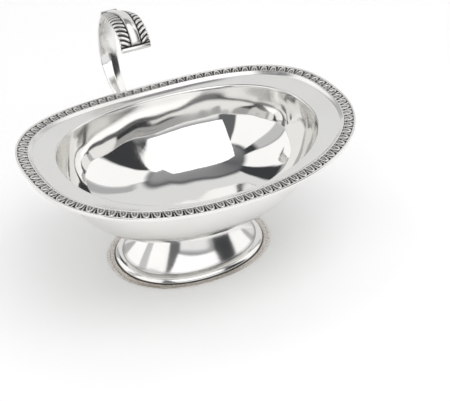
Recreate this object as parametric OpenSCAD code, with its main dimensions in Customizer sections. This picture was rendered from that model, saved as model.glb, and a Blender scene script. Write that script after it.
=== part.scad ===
// Oval silver sauce boat: a deep bowl raised with a broad flange, a struck border round the
// rim, a pedestal foot, and a strap handle at the back that ends in a leaf thumb rest.
// Origin on the table under the middle of the foot, +X along the bowl, +Y to the handle, +Z up.
// The pieces are soldered, so they meet face to face and nothing moves.

/* [Rim] */
// Half of the length over the rim
rim_half_length = 100; // [80:0.5:130]
// Half of the width over the rim, leaving out the handle
rim_half_width = 67.6; // [56:0.2:86]
// Fullness of the rim's oval, where 2 is an ellipse
rim_fullness = 2.4; // [2:0.05:3]
// Height of the flange's upper face at the middle of the long sides
rim_height = 74.8; // [62:0.2:95]
// How much higher the two ends of the rim stand
rim_end_rise = 8.2; // [0:0.2:14]
// Width of the flange from the rim's edge to the mouth, at the two ends
flange_end_width = 21.9; // [16:0.1:28]
// Width of the flange from the rim's edge to the mouth, at the long sides
flange_side_width = 13.4; // [11:0.1:18]
// How far the flange falls from the border to the mouth
flange_fall = 0.95; // [0:0.05:2]
// Width of the plain wire that finishes the rim's edge
edge_wire_width = 1.3; // [0.8:0.1:2]
// Width of the struck border strip
border_width = 5.4; // [4:0.1:6.6]
// Thickness of the struck border strip
border_thickness = 1.5; // [1:0.1:2.2]
// Width of the cove moulding on the border's inner side
cove_width = 2.5; // [1.5:0.1:3.2]

/* [Bowl] */
// Depth of the bowl from the mouth to its underside
bowl_depth = 48.2; // [38:0.2:58]
// Fullness of the bowl's plan, where 2 is an ellipse
bowl_plan_fullness = 2.2; // [2:0.05:2.8]
// Fullness of the bowl's wall from mouth to bottom, where 2 is an ellipse
bowl_wall_fullness = 2.4; // [2:0.05:3]
// Thickness of the bowl's sheet
bowl_sheet = 1; // [0.7:0.05:1.4]
// Radius where the flange turns down into the bowl
mouth_radius = 1.2; // [0.8:0.1:2]

/* [Foot] */
// Half of the length of the foot
foot_half_length = 52; // [42:0.5:64]
// Half of the width of the foot
foot_half_width = 37.7; // [32:0.1:46]
// Fullness of the foot's oval, where 2 is an ellipse
foot_fullness = 2.15; // [2:0.05:2.6]
// Width of the foot's flat flange at the two ends
foot_flange_end_width = 5.1; // [3:0.1:8]
// Width of the foot's flat flange at the long sides
foot_flange_side_width = 3.2; // [2:0.1:5]
// Thickness of the foot's flat flange
foot_flange_thickness = 0.9; // [0.6:0.1:1.5]
// Width of the rounded moulding on the flange
foot_roll_width = 4.5; // [3:0.1:6]
// Height of the rounded moulding on the flange
foot_roll_height = 3.1; // [2:0.1:4.5]
// Thickness of the pedestal's sheet
foot_sheet = 1; // [0.7:0.05:1.4]
// Half of the length of the pedestal's neck
neck_half_length = 27.5; // [22:0.5:33]
// Where the flare's curve turns, as a share of its spread from the neck
flare_turn_out = 0.22; // [0.1:0.02:0.34]
// Where the flare's curve turns, as a share of its drop from the neck
flare_turn_down = 0.58; // [0.5:0.02:0.8]
// Height of the collar between the pedestal's neck and the bowl
neck_collar_height = 3.2; // [2:0.1:5]
// How far the collar bulges past the neck
neck_collar_bulge = 1; // [0.4:0.1:2]

/* [Handle] */
// How far outside the rim the centre of the handle's bow lies
bow_centre_out = 5.4; // [0:0.2:12]
// How far above the rim the centre of the handle's bow lies
bow_centre_up = 14.2; // [8:0.2:20]
// Radius of the handle's bow level with its centre
bow_radius = 38.3; // [31:0.1:47]
// How much the radius grows for each degree round the bow
bow_growth = 0.025; // [0:0.005:0.04]
// Angle above level at which the strap ends
bow_end_angle = 31.6; // [24:0.2:40]
// Width of the strap at its widest, level with the bow's centre
strap_width = 12.6; // [10:0.1:16]
// Width of the strap at its upper end
strap_top_width = 10.2; // [8:0.1:13]
// Width of the strap at its lower end
strap_foot_width = 8.4; // [6:0.1:11]
// Thickness of the strap
strap_thickness = 3; // [2:0.1:4]
// How far below the mouth the plate at the strap's lower end is soldered
plate_drop = 17.4; // [13:0.2:20]
// Width of that plate
plate_width = 17; // [13:0.5:22]
// Height of that plate
plate_height = 14; // [11:0.5:18]
// Thickness of that plate at its middle
plate_thickness = 1.6; // [1:0.1:2.5]
// Thickness of the solder between the plate and the bowl
solder_film = 0.05; // [0.02:0.01:0.1]

/* [Thumb rest] */
// Diameter of the little roll that joins the strap and the leaf
roll_diameter = 3.4; // [2.8:0.1:5]
// How far forward the leaf reaches from the roll
leaf_reach = 38; // [32:0.5:48]
// How far the leaf's crest stands above the roll
leaf_crest_rise = 7.4; // [5:0.1:11]
// How far the leaf's tip lies below the roll
leaf_tip_drop = 6.3; // [3:0.1:9]
// Width of the leaf at its crest and its tip
leaf_width = 19.4; // [15:0.2:25]
// Thickness of the leaf
leaf_thickness = 2; // [1.4:0.1:3]
// How far the leaf's sides bend down at its crest
leaf_droop = 2.6; // [0:0.1:4]
// Diameter of the plain bar across the leaf's tip
tip_bar_diameter = 3.4; // [2.6:0.1:4.4]

/* [Hidden] */

polished = [0.82, 0.81, 0.79];
satin = [0.74, 0.73, 0.71];
oxidised = [0.42, 0.41, 0.39];
brownish = [0.62, 0.58, 0.54];

// Points round each oval, and round each section of the handle
ring_points = 72;
section_points = 12;

// Widths counted inwards from the rim's edge
border_from = edge_wire_width;
border_to = border_from + border_width;
cove_to = border_to + cove_width;

// The bowl's outside at the mouth, and the height of the mouth at the middle of the long sides
bowl_half_length = rim_half_length - flange_end_width + bowl_sheet;
bowl_half_width = rim_half_width - flange_side_width + bowl_sheet;
mouth_height = rim_height - flange_fall;

// The foot's plan at the step between flange and moulding, and where the pedestal starts
step_half_length = foot_half_length - foot_flange_end_width;
step_half_width = foot_half_width - foot_flange_side_width;
flare_half_length = step_half_length - foot_roll_width;
flare_half_width = step_half_width - foot_roll_width;
flare_top = foot_flange_thickness + foot_roll_height;

// How far round the wall, from 0 at the mouth to 90 at the bottom, it is a share of its full width
function wall_angle(share) = acos(pow(share, bowl_wall_fullness / 2));
neck_outer = wall_angle(neck_half_length / bowl_half_length);
neck_inner = wall_angle((neck_half_length - 2 * foot_sheet) / bowl_half_length);

// The pedestal's neck follows the bowl's plan, and its top lies a collar's height below the bowl
neck_half_width = neck_half_length * bowl_half_width / bowl_half_length;
neck_top = mouth_height - bowl_depth * pow(sin(neck_outer), 2 / bowl_wall_fullness)
  - neck_collar_height;

// Angles of the rings that shape the bowl's outside and inside
bottom_angle = 84;
wall_rows = 10;
outer_rows = concat(
  [for (k = [1 : wall_rows]) neck_outer * k / wall_rows],
  [neck_inner, (neck_inner + bottom_angle) / 2, bottom_angle]
);
inner_rows = [for (k = [1 : wall_rows + 1]) bottom_angle * k / (wall_rows + 1)];

// A number's power with its sign kept
function signed_pow(v, p) = sign(v) * pow(abs(v), p);

// Height added to the rim's surface at a distance x from the middle
function end_rise(x) = rim_end_rise * pow(x / rim_half_length, 2);

// One point of an oval with half-sizes a and b, at an angle t
function oval_point(a, b, fullness, t) =
  [a * signed_pow(cos(t), 2 / fullness), b * signed_pow(sin(t), 2 / fullness)];

// The oval's outward direction there
function oval_normal(a, b, fullness, t) =
  let (p = 2 - 2 / fullness, n = [signed_pow(cos(t), p) / a, signed_pow(sin(t), p) / b])
  n / norm(n);

function angles() = [for (i = [0 : ring_points - 1]) 360 * i / ring_points];

// A level oval ring at height z
function level_ring(a, b, fullness, z) =
  [for (t = angles()) let (p = oval_point(a, b, fullness, t)) [p.x, p.y, z]];

// A ring a distance w inside the rim's edge, at a height dz over the flange's upper face
function rim_ring(w, dz) = [
  for (t = angles())
    let (p = oval_point(rim_half_length, rim_half_width, rim_fullness, t)
           - w * oval_normal(rim_half_length, rim_half_width, rim_fullness, t))
    [p.x, p.y, rim_height + end_rise(p.x) + dz]
];

// A ring of the bowl's wall, shrunk by s, at an angle u down the wall
function wall_ring(s, u) =
  let (share = pow(cos(u), 2 / bowl_wall_fullness), fall = pow(sin(u), 2 / bowl_wall_fullness))
  [
    for (t = angles())
      let (p = share * oval_point(bowl_half_length - s, bowl_half_width - s, bowl_plan_fullness, t))
      [p.x, p.y, mouth_height - (bowl_depth - s) * fall + end_rise(p.x) * (1 - fall)]
  ];

// A ring near the mouth, grown by g past its inner edge, at a height dz over the mouth
function mouth_ring(g, dz) = [
  for (t = angles())
    let (p = oval_point(bowl_half_length - bowl_sheet + g, bowl_half_width - bowl_sheet + g,
                        bowl_plan_fullness, t))
    [p.x, p.y, mouth_height + end_rise(p.x) + dz]
];

// The outward distance of the bowl's outside from the long axis, at a distance x and a height z
function wall_y(x, z) =
  let (rise = end_rise(x), fall = (mouth_height + rise - z) / (bowl_depth + rise),
       share = pow(1 - pow(fall, bowl_wall_fullness), 1 / bowl_wall_fullness))
  bowl_half_width * pow(pow(share, bowl_plan_fullness)
    - pow(abs(x) / bowl_half_length, bowl_plan_fullness), 1 / bowl_plan_fullness);

// Splits the four-sided patch a, b, c, d of the points p in two. The split always starts at the
// inner of the two edges, so that two pieces which share a patch split it the same way.
function patch(p, a, b, c, d) =
  norm([p[a].x, p[a].y]) <= norm([p[b].x, p[b].y]) ? [[a, b, c], [a, c, d]] : [[a, b, d], [b, c, d]];

// Joins rings of equal length into one solid. The rings run anticlockwise as seen from ahead,
// and the last is joined to the first if the solid is itself a ring.
module loft(rings, closed = false) {
  count = len(rings[0]);
  last = len(rings) - (closed ? 1 : 2);
  points = [for (r = rings) for (p = r) p];
  sides = [
    for (j = [0 : last]) for (i = [0 : count - 1])
      let (k = (j + 1) % len(rings), n = (i + 1) % count)
      each patch(points, j * count + i, k * count + i, k * count + n, j * count + n)
  ];
  top = (len(rings) - 1) * count;
  caps = [for (i = [1 : count - 2]) each [[0, i, i + 1], [top, top + i + 1, top + i]]];
  polyhedron(points, closed ? sides : concat(sides, caps), convexity = 6);
}

// A point on a curve with four control points
function bezier(p, t) =
  pow(1 - t, 3) * p[0] + 3 * t * pow(1 - t, 2) * p[1] + 3 * t * t * (1 - t) * p[2] + pow(t, 3) * p[3];

// The handle's curves lie in the plane x = 0, as pairs of y and z
bow_centre = [rim_half_width + bow_centre_out, rim_height + bow_centre_up];
function bow_point(angle) =
  bow_centre + (bow_radius + bow_growth * angle) * [cos(angle), sin(angle)];
roll_centre = bow_point(bow_end_angle);

// The plate's middle on the bowl's wall, and the wall's outward direction there
plate_height_at = mouth_height - plate_drop;
plate_root = [wall_y(0, plate_height_at), plate_height_at];
plate_slope = [wall_y(0, plate_height_at + 1) - wall_y(0, plate_height_at - 1), 2];
plate_up = plate_slope / norm(plate_slope);
plate_out = [plate_up.y, -plate_up.x];
plate_face = plate_root + (plate_thickness + solder_film) * plate_out;

// The strap's middle line: round the bow to its low side, then a curve that meets the plate square
bow_low_angle = -56;
bow_low = bow_point(bow_low_angle);
strap_tail = [
  bow_low, bow_low + 20 * [sin(bow_low_angle), -cos(bow_low_angle)],
  plate_face + 12 * plate_out, plate_face
];
bow_steps = 18;
tail_steps = 12;
strap_line = concat(
  [for (k = [tail_steps : -1 : 1]) bezier(strap_tail, k / tail_steps)],
  [for (k = [0 : bow_steps]) bow_point(bow_low_angle + (bow_end_angle - bow_low_angle) * k / bow_steps)]
);
function strap_width_at(k) =
  let (a = k < tail_steps ? bow_low_angle : bow_low_angle + (bow_end_angle - bow_low_angle)
         * (k - tail_steps) / bow_steps)
  a > 0 ? strap_width - (strap_width - strap_top_width) * pow(a / bow_end_angle, 2)
        : strap_width - (strap_width - strap_foot_width) * pow(a / bow_low_angle, 2);

// The leaf's middle line: up from the roll to the crest, then over and down to the tip
leaf_crest = roll_centre + [-0.6 * leaf_reach, leaf_crest_rise];
leaf_tip = roll_centre + [-leaf_reach, -leaf_tip_drop];
leaf_back = [
  roll_centre, roll_centre + [-0.18 * leaf_reach, 0.37 * leaf_crest_rise],
  leaf_crest + [0.19 * leaf_reach, 0], leaf_crest
];
leaf_front = [
  leaf_crest, leaf_crest - [0.19 * leaf_reach, 0],
  leaf_tip + [0, 0.5 * (leaf_crest_rise + leaf_tip_drop)], leaf_tip
];
leaf_steps = 10;
leaf_line = concat(
  [for (k = [0 : leaf_steps]) bezier(leaf_back, k / leaf_steps)],
  [for (k = [1 : leaf_steps]) bezier(leaf_front, k / leaf_steps)]
);
function leaf_width_at(k) =
  strap_top_width + (leaf_width - strap_top_width) * pow(sin(90 * min(1, k / leaf_steps)), 1.5);
function leaf_droop_at(k) = leaf_droop * sin(90 * k / leaf_steps);

// The direction of a line at its point k
function heading(line, k) =
  let (v = line[min(k + 1, len(line) - 1)] - line[max(k - 1, 0)]) v / norm(v);

// A rounded section across a line: width runs along x, thickness across the line, and the
// sides bend back by a droop
function section(at, ahead, width, thickness, droop = 0) = [
  for (i = [0 : section_points - 1])
    let (t = 360 * i / section_points, p = oval_point(width / 2, thickness / 2, 2.6, t),
         out = p.y - droop * pow(2 * p.x / width, 2))
    [p.x, at.x + ahead.y * out, at.y - ahead.x * out]
];

// A bar along x through a point of the handle's plane
module cross_bar(at, diameter, length) {
  translate([-length / 2, at.x, at.y]) rotate([0, 90, 0]) cylinder(h = length, d = diameter, $fn = 48);
}

// Raised from one sheet: bowl, mouth and flange
module bowl_body() {
  color(polished) loft(concat(
    [for (k = [len(outer_rows) - 1 : -1 : 0]) wall_ring(0, outer_rows[k])],
    [mouth_ring(bowl_sheet, -bowl_sheet)],
    [rim_ring(cove_to, -bowl_sheet), rim_ring(border_from, -bowl_sheet)],
    [rim_ring(border_from, 0), rim_ring(border_to, 0), rim_ring(cove_to, 0)],
    [mouth_ring(mouth_radius, 0), mouth_ring(0.3 * mouth_radius, -0.3 * mouth_radius)],
    [mouth_ring(0, -mouth_radius)],
    [for (u = inner_rows) wall_ring(bowl_sheet, u)]
  ));
}

// Wire soldered round the flange's edge, rounded outside
module rim_edge_wire() {
  color(polished) loft([
    rim_ring(0.35 * edge_wire_width, -bowl_sheet),
    rim_ring(0, 0.4 - bowl_sheet),
    rim_ring(0, border_thickness - 0.6),
    rim_ring(0.3 * edge_wire_width, border_thickness - 0.1),
    rim_ring(border_from, border_thickness),
    rim_ring(border_from, 0),
    rim_ring(border_from, -bowl_sheet)
  ], closed = true);
}

// Struck strip soldered on the flange
module rim_border() {
  color(oxidised) loft([
    rim_ring(border_from, 0),
    rim_ring(border_from, border_thickness),
    rim_ring(border_to, border_thickness),
    rim_ring(border_to, 0)
  ], closed = true);
}

// Hollow moulding between the border and the plain flange
module rim_cove_moulding() {
  color(polished) loft([
    rim_ring(border_to, 0),
    rim_ring(border_to, border_thickness),
    rim_ring(border_to + 0.35 * cove_width, 0.4 * border_thickness),
    rim_ring(border_to + 0.7 * cove_width, 0.12 * border_thickness),
    rim_ring(cove_to, 0)
  ], closed = true);
}

// Flat ring that stands on the table
module foot_flange() {
  edge = 0.3 * foot_flange_thickness;
  color(brownish) loft([
    level_ring(foot_half_length - edge, foot_half_width - edge, foot_fullness, 0),
    level_ring(foot_half_length, foot_half_width, foot_fullness, edge),
    level_ring(foot_half_length, foot_half_width, foot_fullness, foot_flange_thickness - edge),
    level_ring(foot_half_length - edge, foot_half_width - edge, foot_fullness, foot_flange_thickness),
    level_ring(step_half_length, step_half_width, foot_fullness, foot_flange_thickness),
    level_ring(flare_half_length, flare_half_width, foot_fullness, foot_flange_thickness),
    level_ring(flare_half_length, flare_half_width, foot_fullness, 0)
  ], closed = true);
}

// Rounded moulding soldered on the flange, highest where the pedestal joins it
module foot_roll_moulding() {
  color(polished) loft(concat(
    [
      for (v = [0 : 22.5 : 90])
        let (g = foot_roll_width * cos(v))
        level_ring(flare_half_length + g, flare_half_width + g, foot_fullness,
                   foot_flange_thickness + foot_roll_height * sin(v))
    ],
    [level_ring(flare_half_length, flare_half_width, foot_fullness, foot_flange_thickness)]
  ), closed = true);
}

// Hollow flare of sheet from the moulding up to the neck
module foot_pedestal() {
  flare_steps = 8;
  drop = neck_top - flare_top;
  spread = flare_half_length - neck_half_length;
  // A share of the way at t from 0 to 1 along a curve that turns at the share c, and its slope there
  function along(t, c) = 2 * t * (1 - t) * c + t * t;
  function slope(t, c) = 2 * c * (1 - 2 * t) + 2 * t;
  // The flare's outward direction: level at the neck and straight up at the moulding, where it is joined
  function outward(t) =
    let (out = [drop * slope(t, flare_turn_down), spread * slope(t, flare_turn_out)])
    t == 0 ? [1, 0] : t == 1 ? [0, 1] : out / norm(out);
  // A ring at t along the flare, from 0 at the neck to 1 at the moulding, at a depth s in the sheet
  function flare_ring(t, s) =
    let (f = along(t, flare_turn_out), n = outward(t))
    level_ring(neck_half_length + spread * f - s * n.x,
               neck_half_width + (flare_half_width - neck_half_width) * f - s * n.x,
               bowl_plan_fullness + (foot_fullness - bowl_plan_fullness) * f,
               neck_top - drop * along(t, flare_turn_down) - s * n.y);
  color(polished) loft(concat(
    [for (k = [flare_steps : -1 : 0]) flare_ring(k / flare_steps, 0)],
    [for (k = [0 : flare_steps]) flare_ring(k / flare_steps, foot_sheet)]
  ), closed = true);
}

// Collar that fills the joint between the pedestal's neck and the bowl
module foot_neck_collar() {
  inner = 2 * foot_sheet;
  color(polished) loft([
    level_ring(neck_half_length, neck_half_width, bowl_plan_fullness, neck_top),
    level_ring(neck_half_length + neck_collar_bulge, neck_half_width + neck_collar_bulge,
               bowl_plan_fullness, neck_top + neck_collar_height / 2),
    wall_ring(0, neck_outer),
    wall_ring(0, neck_inner),
    level_ring(neck_half_length - inner, neck_half_width - inner, bowl_plan_fullness, neck_top)
  ], closed = true);
}

// Strap from the plate on the bowl, out under the rim and up round the bow
module handle_strap() {
  last = len(strap_line) - 1;
  color(polished) difference() {
    loft([
      for (k = [0 : last])
        section(strap_line[k], k == 0 ? plate_out : heading(strap_line, k),
                strap_width_at(k), strap_thickness)
    ]);
    cross_bar(roll_centre, roll_diameter, 2 * strap_width);
  }
}

// Oval plate that carries the strap on the bowl's wall, flat outside
module handle_lower_plate() {
  turn = [for (t = [360 : -15 : 15]) t];
  bevel = 0.8;
  // A point on the wall at angle t round the plate, at a share of the way to its edge
  function on_wall(t, share) =
    let (x = share * plate_width / 2 * cos(t),
         z = plate_root.y + share * plate_height / 2 * sin(t) * plate_up.y)
    [x, wall_y(x, z) + solder_film, z];
  // A point at angle t round the plate's flat face
  function on_face(t) =
    let (p = plate_face + (plate_height / 2 - bevel) * sin(t) * plate_up)
    [(plate_width / 2 - bevel) * cos(t), p.x, p.y];
  color(polished) loft(concat(
    [for (share = [0.25 : 0.25 : 1]) [for (t = turn) on_wall(t, share)]],
    [[for (t = turn) on_face(t)]]
  ));
}

// Little roll across the handle where the strap ends and the leaf begins
module handle_roll() {
  color(polished) cross_bar(roll_centre, roll_diameter, strap_top_width + 0.4);
}

// Leaf that rises from the roll and turns down over the rim
module handle_leaf() {
  color(satin) difference() {
    loft([
      for (k = [0 : len(leaf_line) - 1])
        section(leaf_line[k], heading(leaf_line, k), leaf_width_at(k), leaf_thickness, leaf_droop_at(k))
    ]);
    cross_bar(roll_centre, roll_diameter, 2 * leaf_width);
    cross_bar(leaf_tip, tip_bar_diameter, 2 * leaf_width);
  }
}

// Plain bar across the leaf's tip
module handle_leaf_tip_bar() {
  color(polished) cross_bar(leaf_tip, tip_bar_diameter, leaf_width);
}

bowl_body();
rim_edge_wire();
rim_border();
rim_cove_moulding();
foot_flange();
foot_roll_moulding();
foot_pedestal();
foot_neck_collar();
handle_strap();
handle_lower_plate();
handle_roll();
handle_leaf();
handle_leaf_tip_bar();
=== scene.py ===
import math

import bpy
from mathutils import Matrix, Vector


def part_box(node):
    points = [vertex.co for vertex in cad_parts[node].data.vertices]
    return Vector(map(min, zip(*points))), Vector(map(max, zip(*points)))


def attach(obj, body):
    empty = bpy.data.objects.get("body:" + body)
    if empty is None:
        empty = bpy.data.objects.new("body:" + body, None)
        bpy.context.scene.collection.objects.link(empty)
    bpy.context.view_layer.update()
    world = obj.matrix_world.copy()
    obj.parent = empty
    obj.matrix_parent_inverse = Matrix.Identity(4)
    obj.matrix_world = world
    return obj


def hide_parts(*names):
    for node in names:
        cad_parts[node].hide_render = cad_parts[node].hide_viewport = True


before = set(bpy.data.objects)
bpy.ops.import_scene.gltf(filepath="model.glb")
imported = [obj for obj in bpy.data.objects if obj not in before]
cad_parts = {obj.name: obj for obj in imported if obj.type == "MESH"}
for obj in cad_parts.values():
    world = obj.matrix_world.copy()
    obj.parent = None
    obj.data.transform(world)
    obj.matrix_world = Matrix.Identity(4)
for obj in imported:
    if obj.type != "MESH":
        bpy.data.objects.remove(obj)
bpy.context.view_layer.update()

# The camera looks down on the long front side from the left, 0.7 m away.
# It is made first, so that every later piece can be judged from here.
azimuth = math.radians(-30.35)
elevation = math.radians(35.9)
roll = math.radians(1.23)
aim = Vector((0.0243, 0, 0.0250))
distance = 0.711
camera = bpy.data.objects.new("camera", bpy.data.cameras.new("camera"))
camera.data.sensor_width = 36
camera.data.lens = 93.53
camera.matrix_world = (
    Matrix.Translation(aim)
    @ Matrix.Rotation(azimuth, 4, "Z")
    @ Matrix.Rotation(math.pi / 2 - elevation, 4, "X")
    @ Matrix.Rotation(roll, 4, "Z")
    @ Matrix.Translation((0, 0, distance))
)
bpy.context.scene.collection.objects.link(camera)
bpy.context.scene.camera = camera


# The table is plain and pale. Silver shows what stands round it, so the studio has one large
# soft box that leans over the front, white panels on the other sides, and dark gaps between.
def wire_up(tree, kind, choices=None, feeds=None):
    """A node of a kind, with its choices set and its inputs fed from sockets or values."""
    node = tree.nodes.new(kind)
    for key, value in (choices or {}).items():
        setattr(node, key, value)
    for key, value in (feeds or {}).items():
        if isinstance(value, bpy.types.NodeSocket):
            tree.links.new(value, node.inputs[key])
        else:
            node.inputs[key].default_value = value
    return node


def work(tree, operation, *terms):
    """The result of one operation on sockets or numbers."""
    return wire_up(tree, "ShaderNodeMath", {"operation": operation}, dict(enumerate(terms))).outputs[0]


def step_up(tree, value, start, end):
    """A smooth step from 0 at the start to 1 at the end."""
    feeds = {"Value": value, "From Min": start, "From Max": end}
    return wire_up(tree, "ShaderNodeMapRange", {"interpolation_type": "SMOOTHSTEP"}, feeds).outputs[0]


def soft_light(name, place, target, size, depth, brightness, in_mirrors):
    """A soft rectangular lamp that points from its place at a target, seen only in mirrors if asked."""
    lamp = bpy.data.lights.new(name, "AREA")
    lamp.shape = "RECTANGLE"
    lamp.size = size
    lamp.size_y = depth
    lamp.energy = brightness * math.pi * size * depth
    holder = bpy.data.objects.new(name, lamp)
    holder.location = place
    holder.rotation_euler = (Vector(target) - Vector(place)).to_track_quat("-Z", "Y").to_euler()
    holder.visible_camera = False
    holder.visible_glossy = in_mirrors
    bpy.context.scene.collection.objects.link(holder)


floor_half = 3
floor_corners = [(-floor_half, -floor_half, 0), (floor_half, -floor_half, 0)]
floor_corners += [(floor_half, floor_half, 0), (-floor_half, floor_half, 0)]
floor_mesh = bpy.data.meshes.new("floor")
floor_mesh.from_pydata(floor_corners, [], [(0, 1, 2, 3)])
floor = bpy.data.objects.new("floor", floor_mesh)
bpy.context.scene.collection.objects.link(floor)
floor_paint = bpy.data.materials.new("pale_table")
floor_paint.use_nodes = True
floor_shader = floor_paint.node_tree.nodes["Principled BSDF"]
floor_shader.inputs["Base Color"].default_value = (0.93, 0.93, 0.925, 1)
floor_shader.inputs["Roughness"].default_value = 0.95
floor_shader.inputs["Specular IOR Level"].default_value = 0.1
floor_mesh.materials.append(floor_paint)

soft_light("front_soft_box", (0.085, -0.47, 1.04), (0.085, 0.30, 0.40), 0.9, 1.62, 1.2, True)
soft_light("overhead_fill", (0.0, 0.1, 1.6), (0, 0, 0), 2.4, 2.4, 0.7, False)
world = bpy.data.worlds.new("studio")
world.use_nodes = True
room = world.node_tree
look = room.nodes.new("ShaderNodeTexCoord").outputs["Generated"]
look = wire_up(room, "ShaderNodeSeparateXYZ", None, {0: look})
degrees = 180 / math.pi
heading_start = 150.0
heading = work(room, "MULTIPLY", work(room, "ARCTAN2", look.outputs["Y"], look.outputs["X"]), degrees)
heading = work(room, "FLOORED_MODULO", work(room, "ADD", heading, heading_start), 360.0)
height = work(room, "MULTIPLY", work(room, "ARCSINE", look.outputs["Z"]), degrees)
gap = wire_up(room, "ShaderNodeMapRange", None, {
    "Value": heading, "From Min": 45.0, "From Max": 85.0, "To Min": 0.15, "To Max": 0.055,
})
wall = gap.outputs[0]
# Each panel runs from one heading to another in degrees, up to a height, with a brightness.
panels = {
    "right_white": (117, 151, 63, 1.15),
    "back_right_pale": (151, 247, 61, 0.84),
    "back_middle_low": (246, 270, 33, 0.5),
    "back_left_white": (268, 307, 66, 1.15),
    "left_corner_pale": (308, 327, 52, 0.62),
    "left_white": (327, 370, 61, 1.15),
    "left_white_end": (-10, 20, 61, 1.15),
    "front_table_edge": (43, 88, 21, 0.42),
    "front_low": (43, 83, 15, 0.92),
    "corner_stand": (152, 163, 55, 0.5),
}
side_softness = 2
top_softness = 3
for start, end, top, brightness in panels.values():
    after_start = step_up(room, heading, start - side_softness, start + side_softness)
    before_end = step_up(room, heading, end + side_softness, end - side_softness)
    under_top = step_up(room, height, top + top_softness, top - top_softness)
    inside = work(room, "MULTIPLY", work(room, "MULTIPLY", after_start, before_end), under_top)
    wall = wire_up(room, "ShaderNodeMix", None, {"Factor": inside, "A": wall, "B": brightness}).outputs[0]
dark_corner = 275.0
from_corner = work(room, "ABSOLUTE", work(room, "SUBTRACT", heading, dark_corner))
ceiling = wire_up(room, "ShaderNodeMapRange", None, {
    "Value": from_corner, "From Min": 10.0, "From Max": 130.0, "To Min": 0.15, "To Max": 0.38,
})
above = step_up(room, height, 60.0, 68.0)
shade = wire_up(room, "ShaderNodeMix", None, {"Factor": above, "A": wall, "B": ceiling.outputs[0]}).outputs[0]
grey = wire_up(room, "ShaderNodeCombineXYZ", None, {
    "X": work(room, "POWER", shade, 1.01), "Y": shade, "Z": work(room, "POWER", shade, 0.98),
})
# Seen directly, behind the table, the studio is one plain pale wall.
seen = room.nodes.new("ShaderNodeLightPath").outputs["Is Camera Ray"]
behind = wire_up(room, "ShaderNodeMix", {"data_type": "RGBA"}, {
    "Factor": seen, "A": grey.outputs[0], "B": (0.72, 0.72, 0.715, 1),
})
room.links.new(behind.outputs["Result"], room.nodes["Background"].inputs["Color"])
bpy.context.scene.world = world
bpy.context.scene.view_settings.view_transform = "Standard"
# Opposite walls of the bowl mirror each other many times over, so the light needs more bounces.
bpy.context.scene.cycles.glossy_bounces = 12
bpy.context.scene.cycles.max_bounces = 14


# Bowl body: one thick sheet of silver, raised over stakes to a deep oval bowl whose edge is
# turned out into a broad flange. The inside is buffed to a mirror and the rest is left softer.
def power_with_sign(tree, base, exponent):
    """A power of a number's size that keeps the number's sign."""
    size = work(tree, "POWER", work(tree, "ABSOLUTE", base), exponent)
    return work(tree, "MULTIPLY", work(tree, "SIGN", base), size)


def oval_place(tree, turn, length, width, fullness, inset):
    """X and Y of a point on a full oval at a turn in radians, moved in from its edge by an inset."""
    along = work(tree, "COSINE", turn)
    across = work(tree, "SINE", turn)
    power = work(tree, "DIVIDE", 2.0, fullness)
    rest = work(tree, "SUBTRACT", 2.0, power)
    x = work(tree, "MULTIPLY", length, power_with_sign(tree, along, power))
    y = work(tree, "MULTIPLY", width, power_with_sign(tree, across, power))
    lean_x = work(tree, "DIVIDE", power_with_sign(tree, along, rest), length)
    lean_y = work(tree, "DIVIDE", power_with_sign(tree, across, rest), width)
    lean = work(tree, "ADD", work(tree, "POWER", lean_x, 2.0), work(tree, "POWER", lean_y, 2.0))
    lean = work(tree, "SQRT", lean)
    step = work(tree, "DIVIDE", inset, lean)
    x = work(tree, "SUBTRACT", x, work(tree, "MULTIPLY", step, lean_x))
    y = work(tree, "SUBTRACT", y, work(tree, "MULTIPLY", step, lean_y))
    return x, y


def raised_height(tree, x, height, lift, half_length, rise):
    """Height of a point, which grows towards the two ends of the rim."""
    share = work(tree, "POWER", work(tree, "DIVIDE", x, half_length), 2.0)
    return work(tree, "ADD", height, work(tree, "MULTIPLY", lift, work(tree, "MULTIPLY", rise, share)))


def new_tree(name, inputs):
    """An empty geometry tree with named inputs, and its input and output nodes."""
    tree = bpy.data.node_groups.new(name, "GeometryNodeTree")
    for label, kind in inputs:
        tree.interface.new_socket(label, in_out="INPUT", socket_type="NodeSocket" + kind)
    tree.interface.new_socket("Geometry", in_out="OUTPUT", socket_type="NodeSocketGeometry")
    return tree, tree.nodes.new("NodeGroupInput").outputs, tree.nodes.new("NodeGroupOutput").inputs


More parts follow.
